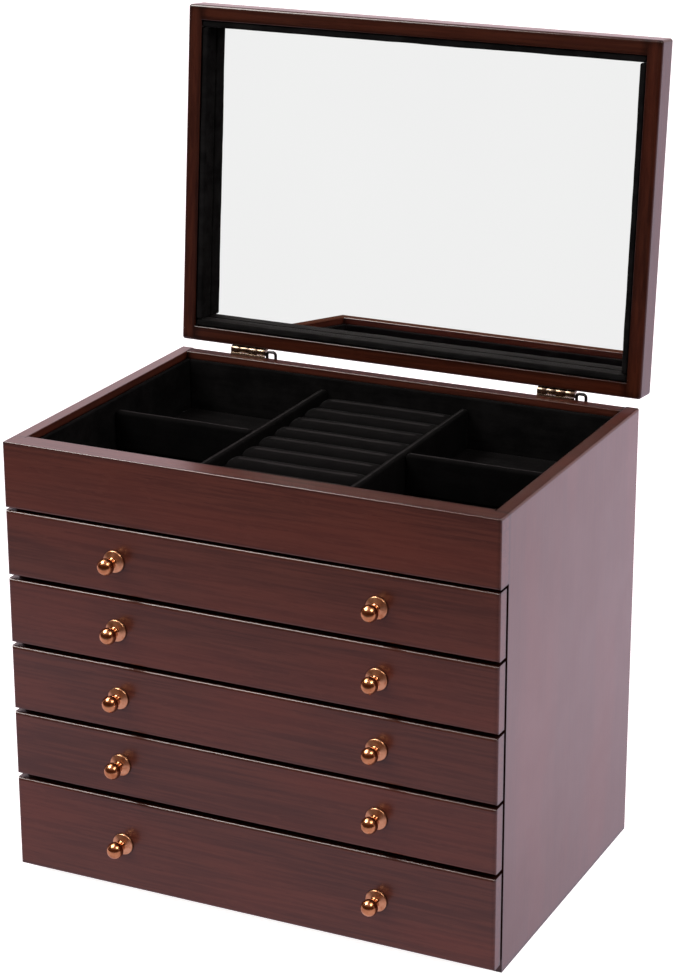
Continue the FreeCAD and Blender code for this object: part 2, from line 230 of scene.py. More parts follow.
def velvet(name, shade=1.0, sheen=0.30, crown=0.0, crown_from=0.955, crown_to=0.995):
    """Short black pile; a crown above 0 is painted light: it lightens the pile on upward faces, as light from
    above would.
    """
    material, net, shader = new_material(name)
    spots = net.node("TexCoord").outputs
    place = spots["Object"]
    nap = net.cloud(place, scale=70, detail=3, roughness=0.6)
    brushed = net.cloud(net.scaled(place, 30, 240, 240), detail=3, roughness=0.6)
    pile = net.cloud(place, scale=1500, detail=2, roughness=0.7)
    lay = net.maths("ADD", net.maths("MULTIPLY", nap, 0.6), net.maths("MULTIPLY", brushed, 0.4))
    low, high = (colour(*(shade * part for part in tone)) for tone in (PILE_LOW, PILE_HIGH))
    base = net.mix(net.spread(lay, 0.34, 0.68), low, high)
    base = net.mix(net.maths("MULTIPLY", net.spread(pile, 0.55, 0.75), 0.5), base, high)
    # Painted light: the pile is lighter on the faces turned up, where light from above falls, mottled by the
    # brushed pattern.
    upward = net.node("SeparateXYZ", {0: spots["Normal"]}).outputs[2]
    topmost = net.spread(upward, crown_from, crown_to)
    painted_top_light = net.maths("MULTIPLY", topmost, net.spread(brushed, 0.25, 0.60, 0.35, 1.0))
    base = net.mix(painted_top_light, base, net.mix(1.0, base, colour(crown, crown, crown), blend="ADD"))
    folds = net.bump(nap, 0.25, 0.0006)
    tufts = net.bump(pile, 0.55, 0.00025, folds)
    set_shader(
        net, shader, Base_Color=base, Roughness=0.95, Normal=tufts, Specular_IOR_Level=0.05,
        Sheen_Weight=sheen, Sheen_Roughness=0.12, Sheen_Tint=colour(*SHEEN_TINT),
    )
    return material


def metal(name, bright, tarnished, rough, wear_scale, scratches=0.04):
    """Plated metal with tarnish in patches, wear_scale of them to the metre, and fine rubbing marks."""
    material, net, shader = new_material(name)
    place = net.node("TexCoord").outputs["Object"]
    patches = net.cloud(place, scale=wear_scale, detail=4, roughness=0.6)
    painted_top_light = net.cloud(place, scale=wear_scale * 9, detail=3, roughness=0.65)
    base = net.mix(net.spread(patches, 0.40, 0.72), colour(*bright), colour(*tarnished))
    roughness = net.maths("ADD", rough, net.maths("MULTIPLY", painted_top_light, 0.10))
    set_shader(
        net, shader, Base_Color=base, Metallic=1.0, Roughness=roughness,
        Normal=net.bump(painted_top_light, scratches, 0.0001),
    )
    return material


def mirror_glass():
    """Silvered glass with the faintest clouding."""
    material, net, shader = new_material("mirror_glass")
    place = net.node("TexCoord").outputs["Object"]
    haze = net.cloud(place, scale=9, detail=4)
    base = net.mix(haze, colour(0.93, 0.93, 0.93), colour(0.95, 0.955, 0.95))
    set_shader(net, shader, Base_Color=base, Metallic=1.0, Roughness=0.0)
    return material


# Stains in the order dark, light, red
BOARD_STAINS = ((0.043, 0.0113, 0.0074), (0.103, 0.0296, 0.0174), (0.126, 0.0257, 0.0136))
INSIDE_STAINS = ((0.050, 0.0170, 0.0100), (0.110, 0.0420, 0.0240), (0.100, 0.0300, 0.0180))
LID_DARKENING = (0.65, 0.57, 0.44)
SMOOTH_COAT = 0.17


def board(name, grain, seed, boldness=0.65, lacquer=1.0, coat_rough=0.23):
    """The carcass and the drawer fronts."""
    return wood(name, grain, seed, BOARD_STAINS, lacquer, coat_rough, boldness, (0.7, 3 * MM))


def lid_board(name, grain, seed):
    """The lid's rails and panel: the carcass stains scaled darker, under a thinner lacquer."""
    shades = [tuple(more * part for more, part in zip(LID_DARKENING, shade)) for shade in BOARD_STAINS]
    return wood(name, grain, seed, shades, 0.68, SMOOTH_COAT, 0.8, (0.8, 5 * MM))


def inside_board(name, grain, seed):
    """Thinly lacquered wood for the parts inside."""
    return wood(name, grain, seed, INSIDE_STAINS, 0.35, 0.32)


# Copies of one black pile in different shades: the lid's lining is lighter, as painted light, and the rolls
# and dividers darker, as painted shade; their crowns add painted light on the upward faces.
black_velvet = velvet("black_velvet")
roll_velvet = velvet("roll_velvet", shade=0.40, sheen=0.12, crown=0.022, crown_from=0.9975, crown_to=0.9998)
lid_velvet = velvet("lid_velvet", shade=1.8, sheen=0.26, crown=0.011)
copper = metal("copper_knob", (0.57, 0.265, 0.125), (0.40, 0.155, 0.065), 0.15, 260, scratches=0.01)
satin_copper = metal("copper_foot", (0.64, 0.34, 0.190), (0.45, 0.190, 0.090), 0.30, 260, scratches=0.02)
brass = metal("hinge_brass", (0.19, 0.145, 0.105), (0.135, 0.090, 0.056), 0.22, 130, scratches=0.01)
steel = metal("steel", (0.62, 0.60, 0.57), (0.40, 0.38, 0.36), 0.28, 500)
black_steel = metal("black_steel", (0.050, 0.050, 0.052), (0.020, 0.019, 0.018), 0.30, 500)
glass = mirror_glass()


# ---------------------------------------------------------------- meshes

def new_piece(name, verts, faces, material, body, slot, *replaced):
    """Make a closed mesh into a smooth-shaded piece that rides on a body."""
    mesh = bpy.data.meshes.new(name)
    mesh.from_pydata([tuple(v) for v in verts], [], faces)
    mesh.validate()
    mesh.polygons.foreach_set("use_smooth", [True] * len(mesh.polygons))
    mesh.materials.append(material)
    piece = bpy.data.objects.new(name, mesh)
    bpy.context.scene.collection.objects.link(piece)
    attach(piece, body)
    if replaced:
        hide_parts(*replaced)
    return piece


def joined(*parts):
    """Several (verts, faces) meshes as one."""
    verts, faces = [], []
    for more_verts, more_faces in parts:
        start = len(verts)
        verts += more_verts
        faces += [tuple(index + start for index in face) for face in more_faces]
    return verts, faces


def moved(part, matrix):
    verts, faces = part
    return [matrix @ Vector(v) for v in verts], faces


def loft(loops, close_ends=True):
    """Skin a list of equal loops of points, with a fan over each end."""
    count = len(loops[0])
    verts = [Vector(point) for loop in loops for point in loop]
    faces = []
    for row in range(len(loops) - 1):
        for step in range(count):
            after = (step + 1) % count
            low = row * count
            high = low + count
            faces.append((low + step, low + after, high + after, high + step))
    if close_ends:
        for row, turned in ((0, True), (len(loops) - 1, False)):
            middle = sum((Vector(p) for p in loops[row]), Vector()) / count
            verts.append(middle)
            for step in range(count):
                pair = (row * count + step, row * count + (step + 1) % count)
                faces.append((pair[::-1] if turned else pair) + (len(verts) - 1,))
    return verts, faces


def turned_part(profile, base, out, segments=48):
    """Spin a profile of (radius, distance) points about an axis that leaves base along out."""
    turn = Vector((0, 0, 1)).rotation_difference(Vector(out)).to_matrix()
    rings = []
    for radius, distance in profile:
        ring = []
        for step in range(segments):
            angle = math.tau * step / segments
            local = Vector((radius * math.cos(angle), radius * math.sin(angle), distance))
            ring.append(Vector(base) + turn @ local)
        rings.append(ring)
    return loft(rings)


def arc(centre, radius, start, end, steps):
    """Points on a circle in a plane, from one angle to another in degrees."""
    points = []
    for step in range(steps + 1):
        angle = math.radians(start + (end - start) * step / steps)
        points.append((centre[0] + radius * math.cos(angle), centre[1] + radius * math.sin(angle)))
    return points


def stations(low, high, radius, step):
    """Places along one side of a soft block, close together in the rounded edges."""
    bend = [radius - radius * math.tan(math.radians(angle)) for angle in (45, 34, 22.5, 11, 0)]
    length = high - low - 2 * radius
    count = max(2, round(length / step))
    flat = [low + radius + length * index / count for index in range(1, count)]
    return [low + b for b in bend] + flat + [high - b for b in reversed(bend)]


def soft_block(low, high, radius, step, lump=0.0, seed=0):
    """A rounded block whose surface rises and falls slightly, as cloth over card does."""
    axes = [stations(low[i], high[i], radius, step) for i in range(3)]
    index_of, verts, faces = {}, [], []

    def corner(key):
        if key not in index_of:
            index_of[key] = len(verts)
            verts.append(Vector(axes[i][key[i]] for i in range(3)))
        return index_of[key]

    for axis in range(3):
        u, v = (axis + 1) % 3, (axis + 2) % 3
        for end in (0, len(axes[axis]) - 1):
            for a in range(len(axes[u]) - 1):
                for b in range(len(axes[v]) - 1):
                    face = []
                    for da, db in ((0, 0), (1, 0), (1, 1), (0, 1)):
                        key = [0, 0, 0]
                        key[axis], key[u], key[v] = end, a + da, b + db
                        face.append(corner(tuple(key)))
                    faces.append(tuple(face if end else face[::-1]))
    inner_low = Vector(low) + Vector((radius,) * 3)
    inner_high = Vector(high) - Vector((radius,) * 3)
    shift = Vector((seed * 0.37, seed * 0.11, seed * 0.23))
    for index, point in enumerate(verts):
        held = Vector(min(max(point[i], inner_low[i]), inner_high[i]) for i in range(3))
        away = (point - held).normalized()
        rise = lump * (noise.noise(point * 55 + shift) + 0.5 * noise.noise(point * 160 + shift) - 1)
        verts[index] = held + away * (radius + rise)
    return verts, faces


def rounded_loop(low, high, inset, z, corner, arc_steps=5, side_steps=24):
    """A rectangle with round corners at height z, drawn anticlockwise."""
    x0, y0, x1, y1 = low[0] + inset, low[1] + inset, high[0] - inset, high[1] - inset
    bend = max(corner - inset, 0.15 * MM)
    centres = ((x1 - bend, y1 - bend), (x0 + bend, y1 - bend), (x0 + bend, y0 + bend), (x1 - bend, y0 + bend))
    points = []
    for turn, centre in enumerate(centres):
        points += arc(centre, bend, 90 * turn, 90 * turn + 90, arc_steps)
    loop = []
    for index, point in enumerate(points):
        after = points[(index + 1) % len(points)]
        steps = side_steps if (index + 1) % (arc_steps + 1) == 0 else 1
        for step in range(steps):
            share = step / steps
            loop.append(Vector((
                point[0] + (after[0] - point[0]) * share, point[1] + (after[1] - point[1]) * share, z
            )))
    return loop


# ---------------------------------------------------------------- top tray

WRAP_ROUND = 1.35 * MM
PAD_ROUND = 0.9 * MM
DIVIDER_ROUND = 2.2 * MM
CLOTH_STEP = 4.0 * MM
CLOTH_LUMP = 0.16 * MM
PAD_LUMP = 0.10 * MM


def tray_boards():
    """The four wrapped boards round the tray."""
    low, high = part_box("tray_lining")
    pad_low, pad_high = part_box("tray_pad")
    spans = {
        "right": ((pad_high.x, low.y), (high.x, high.y)),
        "left": ((low.x, low.y), (pad_low.x, high.y)),
        "front": ((pad_low.x, low.y), (pad_high.x, pad_low.y)),
        "rear": ((pad_low.x, pad_high.y), (pad_high.x, high.y)),
    }
    for index, (side, (start, end)) in enumerate(spans.items()):
        ends = (*start, low.z), (*end, high.z)
        block = soft_block(*ends, WRAP_ROUND, CLOTH_STEP, CLOTH_LUMP, seed=index)
        new_piece("tray_lining_" + side, *block, black_velvet, "carcass", "black_velvet", "tray_lining")


def tray_pad():
    low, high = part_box("tray_pad")
    block = soft_block(low, high, PAD_ROUND, CLOTH_STEP, PAD_LUMP, seed=7)
    pad = new_piece("tray_pad_cloth", *block, black_velvet, "carcass", "black_velvet", "tray_pad")


def dividers():
    """The two long dividers and the two short ones that cross the side bays."""
    for index, side in enumerate(("right", "left")):
        node = "tray_divider_" + side
        block = soft_block(*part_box(node), DIVIDER_ROUND, CLOTH_STEP, CLOTH_LUMP, seed=11 + index)
        new_piece(node + "_cloth", *block, roll_velvet, "carcass", "black_velvet", node)
    low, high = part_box("tray_cross_dividers")
    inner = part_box("tray_divider_right")[1].x
    spans = {"right": (inner, high.x), "left": (low.x, -inner)}
    for index, (side, (start, end)) in enumerate(spans.items()):
        ends = (start, low.y, low.z), (end, high.y, high.z)
        block = soft_block(*ends, DIVIDER_ROUND, CLOTH_STEP, CLOTH_LUMP, seed=21 + index)
        new_piece(
            "tray_cross_divider_" + side, *block, roll_velvet, "carcass", "black_velvet",
            "tray_cross_dividers",
        )


ROLL_COUNT = 9
ROLL_GAP = 0.5 * MM
ROLL_STATIONS = 56
CROWN_STEPS = 24
CROWN_BEND = 0.80
CROWN_HEIGHT = 0.78
END_PINCH = 0.16
PINCH_REACH = 1.6 * MM
ROLL_SWAY = 0.18 * MM


def roll_section(width, height):
    """Rounded crown on upright sides: (across, up) points, anticlockwise from the foot of the crown."""
    half = width / 2
    foot = height - half * CROWN_HEIGHT
    crown = []
    for step in range(CROWN_STEPS + 1):
        angle = math.pi * step / CROWN_STEPS
        across = math.copysign(abs(math.cos(angle)) ** CROWN_BEND, math.cos(angle)) * half
        up = math.sin(angle) ** CROWN_BEND
        crown.append((across, height - half * CROWN_HEIGHT * (1 - up)))
    sides = [foot * share for share in (0.75, 0.5, 0.25, 0.0)]
    left = [(-half, up) for up in sides]
    floor = [(half * share, 0.0) for share in (-0.5, 0.0, 0.5)]
    right = [(half, up) for up in reversed(sides)]
    return crown + left + floor + right


def ring_rolls():
    """The row of soft rolls that grip rings between them."""
    low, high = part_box("ring_rolls")
    pitch = (high.y - low.y) / ROLL_COUNT
    length = high.x - low.x
    height = high.z - low.z
    section = roll_section(pitch - ROLL_GAP, height)
    for index in range(ROLL_COUNT):
        middle = low.y + pitch * (index + 0.5)
        loops = []
        for station in range(ROLL_STATIONS + 1):
            share = station / ROLL_STATIONS
            x = low.x + length * share
            end = min(share, 1 - share) * length
            pinch = 1 - END_PINCH * math.exp(-end / PINCH_REACH)
            narrow = 1 - 0.3 * (1 - pinch)
            wave = noise.noise(Vector((x * 26, index * 1.7, 0.4)))
            fine = noise.noise(Vector((x * 90, index * 2.3, 1.9)))
            loop = []
            for across, up in section:
                rise = (0.985 + 0.012 * wave + 0.006 * fine) * pinch
                sway = ROLL_SWAY * wave * up / height
                loop.append(Vector((x, middle + across * narrow + sway, low.z + up * rise)))
            loops.append(loop)
        name = "ring_roll_" + str(index + 1)
        roll = new_piece(name, *loft(loops), roll_velvet, "carcass", "black_velvet", "ring_rolls")


# ---------------------------------------------------------------- drawers

LINING = 1.5 * MM
LINING_FILLET = 2.2 * MM
LINING_CORNER = 2.0 * MM
LINING_RIPPLE = 0.12 * MM


def lining_rows(low, high):
    """(inset, height) rows of a lining: up its outside, over its lip, down its inside and over the floor."""
    lip = LINING / 2
    floor = low.z + LINING
    reach = LINING + LINING_FILLET
    half = (high.y - low.y) / 2
    rows = [(0.0, low.z), (0.0, low.z + 2 * MM), (0.0, high.z - lip)]
    for angle in (math.radians(a) for a in (30, 60, 90, 120, 150, 180)):
        rows.append((lip - lip * math.cos(angle), high.z - lip + lip * math.sin(angle)))
    rows.append((LINING, floor + LINING_FILLET))
    for angle in (math.radians(a) for a in (25, 50, 75, 90)):
        inset = reach - LINING_FILLET * math.cos(angle)
        rows.append((inset, floor + LINING_FILLET - LINING_FILLET * math.sin(angle)))
    rows += [(half * share, floor) for share in (0.12, 0.25, 0.4, 0.6, 0.8)]
    return rows


def drawer_linings():
    """A velvet skin in each drawer, over the floor and up the walls."""
    for number in DRAWERS:
        body = "drawer_" + str(number)
        low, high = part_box(body + "_lining")
        shift = Vector((number, 0, 0))
        loops = []
        for inset, z in lining_rows(low, high):
            loop = rounded_loop(low, high, inset, z, LINING_CORNER)
            if inset > LINING + LINING_FILLET:
                for point in loop:
                    point.z += LINING_RIPPLE * noise.noise(point * 45 + shift)
            loops.append(loop)
        new_piece(body + "_lining_cloth", *loft(loops), black_velvet, body, "black_velvet", body + "_lining")


# Knob sizes: shares of the foot's radius, and distances out from the drawer front
BALL_SHARE = 0.766
NECK_SHARE = 0.39
COLLAR_SHARE = 0.50
FOOT_BREAK = 0.30 * MM
RIM_ROUND = 0.6 * MM
RIM_OUT = 0.9 * MM
COLLAR_OUT = 2.7 * MM
NECK_OUT = 3.8 * MM
CONE_STEPS = 8
BALL_TIP = 0.05 * MM
FOOT_DEPTH = 2.8 * MM


def knob_profile(foot, reach):
    """A turned knob from its foot out: low cone with a round rim, short neck and ball."""
    ball = foot * BALL_SHARE
    neck = foot * NECK_SHARE
    points = [(foot - FOOT_BREAK, 0.0), (foot - 0.08 * MM, 0.10 * MM), (foot, FOOT_BREAK)]
    points += [(foot - RIM_ROUND + up, RIM_OUT + out) for up, out in arc((0.0, 0.0), RIM_ROUND, 0, 66, 6)]
    cone_start = Vector(points[-1])
    collar = Vector((foot * COLLAR_SHARE, COLLAR_OUT))
    points += [tuple(cone_start.lerp(collar, step / CONE_STEPS)) for step in range(1, CONE_STEPS + 1)]
    points += [(foot * 0.44, COLLAR_OUT + 0.25 * MM), (foot * 0.405, NECK_OUT - 0.5 * MM), (neck, NECK_OUT)]
    meet = math.degrees(math.asin(neck / ball))
    sphere = arc((reach - ball, 0.0), ball, 180 - meet, 2, 30)
    return points + [(max(up, BALL_TIP), out) for out, up in sphere]


def knobs():
    """Two turned knobs on each drawer, polished on the ball and satin on the foot."""
    for number in DRAWERS:
        body = "drawer_" + str(number)
        node = body + "_knobs"
        low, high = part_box(node)
        foot = (high.z - low.z) / 2
        profile = knob_profile(foot, high.y - low.y)
        for side, x in (("left", low.x + foot), ("right", high.x - foot)):
            base = (x, high.y, (low.z + high.z) / 2)
            part = turned_part(profile, base, (0, -1, 0), 64)
            knob = new_piece(body + "_knob_" + side, *part, copper, body, "copper_knob", node)
            knob.data.materials.append(satin_copper)
            for polygon in knob.data.polygons:
                if polygon.center.y > high.y - FOOT_DEPTH:
                    polygon.material_index = 1


# ---------------------------------------------------------------- lid

to_open = (
    Matrix.Translation(hinge_axis)
    @ Matrix.Rotation(-lid_turn, 4, "X")
    @ Matrix.Translation(-hinge_axis)
)


def shut_box(node):
    """Box of one of the lid's nodes with the lid turned shut."""
    to_shut = to_open.inverted()
    points = [to_shut @ v.co for v in frame["nodes"][node].data.vertices]
    low = Vector(min(p[i] for p in points) for i in range(3))
    high = Vector(max(p[i] for p in points) for i in range(3))
    return low, high


LID_BOARD = 4.3 * MM
LID_ROUND = 1.5 * MM
LID_LUMP = 0.2 * MM


def lid_boards():
    """The four wrapped boards round the mirror."""
    low, high = shut_box("lid_lining")
    x0, x1 = low.x + LID_BOARD, high.x - LID_BOARD
    y0, y1 = low.y + LID_BOARD, high.y - LID_BOARD
    spans = {
        "top": ((low.x, low.y), (high.x, y0)),
        "bottom": ((low.x, y1), (high.x, high.y)),
        "right": ((x1, y0), (high.x, y1)),
        "left": ((low.x, y0), (x0, y1)),
    }
    for index, (side, (start, end)) in enumerate(spans.items()):
        ends = (*start, low.z), (*end, high.z)
        block = moved(soft_block(*ends, LID_ROUND, CLOTH_STEP, LID_LUMP, seed=31 + index), to_open)
        new_piece("lid_lining_" + side, *block, lid_velvet, "lid", "black_velvet", "lid_lining")


# ---------------------------------------------------------------- hinges

BARREL_RADIUS = 2.2 * MM
PIN_RADIUS = 0.9 * MM
PIN_TIP = 0.45 * MM
PIN_BEVEL = 0.3 * MM
LEAF = 0.8 * MM
LEAF_EDGE = 0.10 * MM
LEAF_STEP = 3 * MM
LEAF_ABOVE_AXIS = 1.7 * MM
KNUCKLES = 4
KNUCKLE = 5.85 * MM
KNUCKLE_GAP = 0.16 * MM
BARREL = KNUCKLES * KNUCKLE
KNUCKLE_RIM = 0.14 * MM
WEB_FRONT = 0.2 * MM
WEB_BACK = 1.3 * MM
WEB_EDGE = 0.15 * MM
WEB_OVERLAP = 1 * MM
SPRING_WIRE = 0.95 * MM
SPRING_BEND = 1.8 * MM
SCREW_SPOTS = (4.95 * MM, 18.45 * MM)
BODY_LEAF_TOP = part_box("back_panel")[1].z + 0.5 * MM


def knuckle(x0, x1):
    """One barrel segment with softened rims."""
    length = x1 - x0
    softening = ((1, 0), (0.3, 0.3), (0, 1))
    rim = [(BARREL_RADIUS - KNUCKLE_RIM * drop, KNUCKLE_RIM * along) for drop, along in softening]
    far_rim = [(radius, length - along) for radius, along in reversed(rim)]
    return turned_part(rim + far_rim, (x0, hinge_axis.y, hinge_axis.z), (1, 0, 0), 40)


def leaf_and_knuckles(x0, z0, z1, first, web_low, web_high, seat=None):
    """A hinge leaf as long as its barrel, with the strips and knuckles that rise from it.

    A seat is the end and the top of a lower strip of leaf under the spring beside the barrel.
    """
    y0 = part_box("back_panel")[1].y
    parts = [soft_block((x0, y0, z0), (x0 + BARREL, y0 + LEAF, z1), LEAF_EDGE, LEAF_STEP)]
    if seat:
        seat_end, seat_top = seat
        parts.append(soft_block((x0 + BARREL, y0, z0), (seat_end, y0 + LEAF, seat_top), LEAF_EDGE, LEAF_STEP))
    for index in range(first, KNUCKLES, 2):
        start = x0 + index * KNUCKLE + KNUCKLE_GAP / 2
        end = start + KNUCKLE - KNUCKLE_GAP
        parts.append(knuckle(start, end))
        strip = (start, y0 + WEB_FRONT, web_low), (end, y0 + WEB_BACK, web_high)
        parts.append(soft_block(*strip, WEB_EDGE, LEAF_STEP))
    return joined(*parts)


SCREW_RADIUS = 1.8 * MM
SCREW_HEIGHT = 0.6 * MM
SCREW_SKIRT = 0.12 * MM
SCREW_TIP = 0.02 * MM
CROSS_ARM = 0.26 * MM
CROSS_REACH = 1.15 * MM
CROSS_DEPTH = 0.42 * MM
CROSS_FADE = 1.6 * MM


def screw_head(base, out):
    """A low round screw head with a cross recess, built as a turned part with the cross pressed in."""
    profile = [(SCREW_RADIUS, 0.0), (SCREW_RADIUS, SCREW_SKIRT)]
    for angle in (math.radians(deg) for deg in range(10, 90, 5)):
        rise = SCREW_SKIRT + (SCREW_HEIGHT - SCREW_SKIRT) * math.sin(angle)
        profile.append((SCREW_RADIUS * math.cos(angle), rise))
    profile.append((SCREW_TIP, SCREW_HEIGHT))
    verts, faces = turned_part(profile, base, out, 96)
    base, out = Vector(base), Vector(out)
    side = out.cross(Vector((1, 0, 0))).normalized()
    for vert in verts:
        offset = vert - base
        across, along = offset.x, offset.dot(side)
        arm = min(abs(across), abs(along))
        reach = max(abs(across), abs(along))
        if arm < CROSS_ARM and reach < CROSS_REACH and offset.dot(out) > SCREW_HEIGHT / 2:
            vert -= out * (CROSS_DEPTH * (1 - reach / CROSS_FADE))
    return verts, faces


def tube(points, radius, segments=20):
    """A round wire along a list of points in a plane of constant Y."""
    rings = []
    for index, point in enumerate(points):
        before = points[max(index - 1, 0)]
        after = points[min(index + 1, len(points) - 1)]
        along = (after - before).normalized()
        flat = Vector((0, 1, 0))
        up = along.cross(flat).normalized()
        angles = [math.tau * step / segments for step in range(segments)]
        rings.append([point + radius * (math.cos(a) * up + math.sin(a) * flat) for a in angles])
    return loft(rings)


def stop_spring(left, right, y):
    """The bent wire beside a barrel: two legs joined over the top by a flat bridge."""
    spring_low, spring_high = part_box("hinge_stop_springs")
    top = spring_high.z - SPRING_WIRE
    shoulder = top - SPRING_BEND
    leg = [spring_low.z + (shoulder - spring_low.z) * step / 6 for step in range(6)]
    path = [(left, z) for z in leg]
    path += arc((left + SPRING_BEND, shoulder), SPRING_BEND, 180, 90, 10)
    path += arc((right - SPRING_BEND, shoulder), SPRING_BEND, 90, 0, 10)
    path += [(right, z) for z in reversed(leg)]
    return tube([Vector((x, y, z)) for x, z in path], SPRING_WIRE)


def hinges():
    """Leaves, pins, springs and screws of the two hinges, in brass and steel."""
    pins_low, pins_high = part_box("hinge_pins")
    leaves_low, leaves_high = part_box("hinge_body_leaves")
    lid_leaves_high = shut_box("hinge_lid_leaves")[1]
    springs_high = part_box("hinge_stop_springs")[1]
    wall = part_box("back_panel")[1].y
    outer = wall + LEAF
    lid_leaf_low = hinge_axis.z + LEAF_ABOVE_AXIS
    body_web_low = BODY_LEAF_TOP - WEB_OVERLAP
    starts = {"left": pins_low.x, "right": pins_high.x - BARREL}
    leaf_length = leaves_high.x - starts["right"]
    spring_end = springs_high.x - SPRING_WIRE - starts["right"]
    screw_boxes = (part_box("hinge_body_screws"), shut_box("hinge_lid_screws"))
    heights = [(low.z + high.z) / 2 for low, high in screw_boxes]
    for side, start in starts.items():
        body_leaf = leaf_and_knuckles(
            start, leaves_low.z, BODY_LEAF_TOP, 0, body_web_low, hinge_axis.z,
            seat=(start + leaf_length, body_web_low),
        )
        new_piece(
            "hinge_body_leaf_" + side, *body_leaf, brass, "carcass", "hinge_brass", "hinge_body_leaves"
        )
        lid_leaf = leaf_and_knuckles(
            start, lid_leaf_low, lid_leaves_high.z, 1, hinge_axis.z, lid_leaf_low + WEB_OVERLAP
        )
        new_piece(
            "hinge_lid_leaf_" + side, *moved(lid_leaf, to_open), brass, "lid", "hinge_brass",
            "hinge_lid_leaves",
        )
        shaft = (PIN_RADIUS, PIN_BEVEL), (PIN_RADIUS, BARREL - PIN_BEVEL)
        profile = [(PIN_TIP, 0.0), *shaft, (PIN_TIP, BARREL)]
        pin = turned_part(profile, (start, hinge_axis.y, hinge_axis.z), (1, 0, 0), 32)
        new_piece("hinge_pin_" + side, *pin, steel, "carcass", "steel", "hinge_pins")

        spring = stop_spring(start + BARREL + SPRING_WIRE, start + spring_end, outer + SPRING_WIRE)
        new_piece(
            "hinge_stop_spring_" + side, *spring, black_steel, "carcass", "black_steel", "hinge_stop_springs"
        )
        for number, spot in enumerate(SCREW_SPOTS):
            body_screw, lid_screw = (
                screw_head((start + spot, outer, height), (0, 1, 0)) for height in heights
            )
            new_piece(
                f"hinge_body_screw_{side}_{number + 1}", *body_screw, brass, "carcass", "hinge_brass",
                "hinge_body_screws",
            )
            new_piece(
                f"hinge_lid_screw_{side}_{number + 1}", *moved(lid_screw, to_open), brass, "lid",
                "hinge_brass", "hinge_lid_screws",
            )


# ---------------------------------------------------------------- wood and glass nodes

def dress_nodes():
    """Give each CAD node that stays its own finish."""
    finishes = {
        "side_panel_right": board("panel_right", "z", 3, 0.15, coat_rough=SMOOTH_COAT),
        "side_panel_left": board("panel_left", "z", 4, 0.15, coat_rough=SMOOTH_COAT),
        "back_panel": board("panel_back", "x", 5, lacquer=0.6),
        "bottom_panel": inside_board("panel_bottom", "x", 6),
        "top_front": board("front_top", "x", 7),
        "tray_floor": inside_board("floor_tray", "x", 8),
        "drawer_shelves": inside_board("shelves", "x", 9),
        "lid_front_rail": lid_board("lid_front", "x", 10),
        "lid_back_rail": lid_board("lid_back", "x", 11),
        "lid_side_rails": lid_board("lid_sides", "z", 12),
        "lid_panel": lid_board("lid_outer", "x", 13),
        "lid_mirror": glass,
    }
    ends = inside_board("drawer_ends", "x", 14)
    runs = inside_board("drawer_runs", "y", 15)
    for number in DRAWERS:
        body = "drawer_" + str(number)
        finishes[body + "_front"] = board("front_" + str(number), "x", 20 + number)
        finishes[body + "_sides"] = runs
        finishes[body + "_back"] = ends
        finishes[body + "_bottom"] = ends
        finishes[body + "_knob_screws"] = steel
    for node, material in finishes.items():
        for material_slot in frame["nodes"][node].material_slots:
            material_slot.material = material


# ---------------------------------------------------------------- studio

FLOOR_HALF = 9.0
FLOOR_GLOW_TINT = colour(1.0, 0.84, 1.0)
MIRROR_GREY = 0.92


def floor():
    """A pale table top. It looks white to the camera and in the mirror, and lights the object less,
    falling off in front of it."""
    mesh = bpy.data.meshes.new("floor")
    corners = [(FLOOR_HALF * x, FLOOR_HALF * y, 0) for x, y in ((-1, -1), (1, -1), (1, 1), (-1, 1))]
    mesh.from_pydata(corners, [], [(0, 1, 2, 3)])
    plane = bpy.data.objects.new("floor", mesh)
    bpy.context.scene.collection.objects.link(plane)
    material = bpy.data.materials.new("floor")
    material.use_nodes = True
    net = Net(material.node_tree)
    path = net.node("LightPath").outputs
    place = net.node("TexCoord").outputs["Object"]
    spot = net.node("SeparateXYZ", {0: place}).outputs
    mottle = net.cloud(place, scale=3, detail=3)
    pale = net.mix(mottle, colour(0.80, 0.80, 0.80), colour(0.83, 0.83, 0.83))
    front_fall = net.spread(spot[1], -0.84, -0.30, 0.04, 0.76)
    right_gain = net.spread(spot[0], 0.14, 0.27, 0.10, 0.38)
    left_gain = net.spread(spot[0], -0.18, -0.34, 1.0, 1.25)
    front_fall = net.maths("MULTIPLY", front_fall, left_gain)
    lamp = net.maths("ADD", front_fall, net.maths("MULTIPLY", right_gain, net.spread(spot[1], -0.30, 0.1)))
    tinted = net.mix(1.0, FLOOR_GLOW_TINT, lamp, blend="MULTIPLY")
    in_mirror = colour(MIRROR_GREY, MIRROR_GREY, MIRROR_GREY)
    lamp = net.mix(path["Is Singular Ray"], tinted, in_mirror)
    glow = net.node("Emission", {"Color": lamp, "Strength": 1.0})
    dim = net.mix(0.93, pale, BLACK)
    table = net.node("BsdfDiffuse", {"Color": net.mix(path["Is Singular Ray"], dim, BLACK)})
    others = net.node("AddShader", {0: glow.outputs[0], 1: table.outputs[0]})
    white = net.node("Emission", {"Color": WHITE, "Strength": 0.88})
    bright = net.node("BsdfDiffuse", {"Color": pale})
    camera_look = net.node("AddShader", {0: white.outputs[0], 1: bright.outputs[0]})
    both = net.node("MixShader", {0: path["Is Camera Ray"], 1: others.outputs[0], 2: camera_look.outputs[0]})
    net.node("OutputMaterial", {"Surface": both.outputs[0]})
    mesh.materials.append(material)


BACKDROP_TINT = colour(1.0, 0.80, 0.88)
ROOM_DUSK = colour(0.090, 0.034, 0.016)


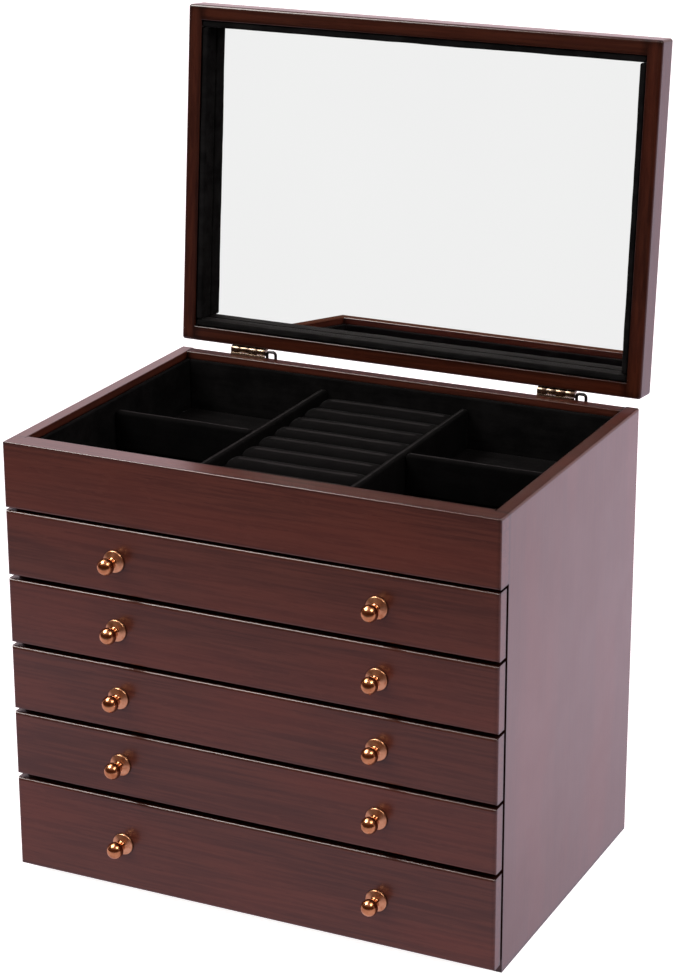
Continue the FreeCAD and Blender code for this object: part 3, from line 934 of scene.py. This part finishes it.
def studio_air():
    """White backdrop behind the object, a dusky room in front of it and a soft ceiling."""
    world = bpy.data.worlds.new("studio")
    bpy.context.scene.world = world
    world.use_nodes = True
    net = Net(world.node_tree)
    direction = net.node("TexCoord").outputs["Generated"]
    part = net.node("SeparateXYZ", {0: direction}).outputs
    behind = net.spread(part[1], -0.25, 0.55, 0.0, 1.01)
    ceiling = net.spread(part[2], 0.55, 0.95, 0.0, 0.5)
    room = net.mix(1.0, BACKDROP_TINT, net.maths("ADD", behind, ceiling), blend="MULTIPLY")
    room = net.mix(1.0, room, ROOM_DUSK, blend="ADD")
    path = net.node("LightPath").outputs
    in_mirror = net.spread(part[2], 0.03, 0.12, MIRROR_GREY, 0.04)
    room = net.mix(path["Is Singular Ray"], room, in_mirror)
    room = net.mix(path["Is Camera Ray"], room, WHITE)
    air = net.node("Background", {"Color": room, "Strength": 1.0})
    net.node("OutputWorld", {"Surface": air.outputs[0]})


def softbox(name, place, aim, width, height, watts, tint=(1.0, 1.0, 1.0), gloss=True, diffuse=True):
    """A rectangular lamp; it may be left out of reflections, or out of the general light."""
    lamp = bpy.data.lights.new(name, "AREA")
    lamp.shape = "RECTANGLE"
    lamp.size = width
    lamp.size_y = height
    lamp.energy = watts
    lamp.color = tint
    holder = bpy.data.objects.new(name, lamp)
    holder.location = place
    holder.rotation_mode = "QUATERNION"
    holder.rotation_quaternion = (Vector(aim) - Vector(place)).to_track_quat("-Z", "Y")
    holder.visible_camera = False
    holder.visible_glossy = gloss
    holder.visible_diffuse = diffuse
    bpy.context.scene.collection.objects.link(holder)


def lights():
    """Two softboxes seen only in highlights, and two that give only the general light."""
    middle = (0, 0, 0.2)
    softbox("ceiling_strip", (-0.80, -0.35, 1.50), middle, 0.9, 0.6, 40.0, (1.0, 0.96, 0.92), diffuse=False)
    softbox("right_strip", (0.85, -0.30, 1.35), middle, 0.5, 0.5, 9.0, (1.0, 0.94, 0.86), diffuse=False)
    softbox("fill", (-0.7, -1.5, 1.1), middle, 1.8, 1.4, 20.0, (1.0, 0.97, 0.94), gloss=False)
    softbox("side_box", (1.3, -0.3, 0.9), (0, 0, 0.15), 0.6, 0.8, 6.0, gloss=False)


def camera():
    """The view from the front right, a little above the lid's hinges."""
    azimuth = math.radians(25.772)
    elevation = math.radians(19.35)
    roll = math.radians(-0.2)
    place = Vector((0.6432, -1.3151, 0.7434))
    back = Vector((
        math.sin(azimuth) * math.cos(elevation), -math.cos(azimuth) * math.cos(elevation), math.sin(elevation)
    ))
    level = (-back).cross(Vector((0, 0, 1))).normalized()
    upright = level.cross(-back)
    right = math.cos(roll) * level + math.sin(roll) * upright
    up = math.cos(roll) * upright - math.sin(roll) * level
    lens = bpy.data.cameras.new("camera")
    lens.sensor_width = 36.0
    lens.lens = 100.57
    lens.clip_start = 0.05
    lens.clip_end = 60.0
    holder = bpy.data.objects.new("camera", lens)
    holder.matrix_world = Matrix.Translation(place) @ Matrix((right, up, back)).transposed().to_4x4()
    bpy.context.scene.collection.objects.link(holder)
    bpy.context.scene.camera = holder


dress_nodes()
tray_boards()
tray_pad()
dividers()
ring_rolls()
drawer_linings()
knobs()
lid_boards()
hinges()
floor()
studio_air()
lights()
camera()
bpy.context.scene.view_settings.view_transform = "Standard"
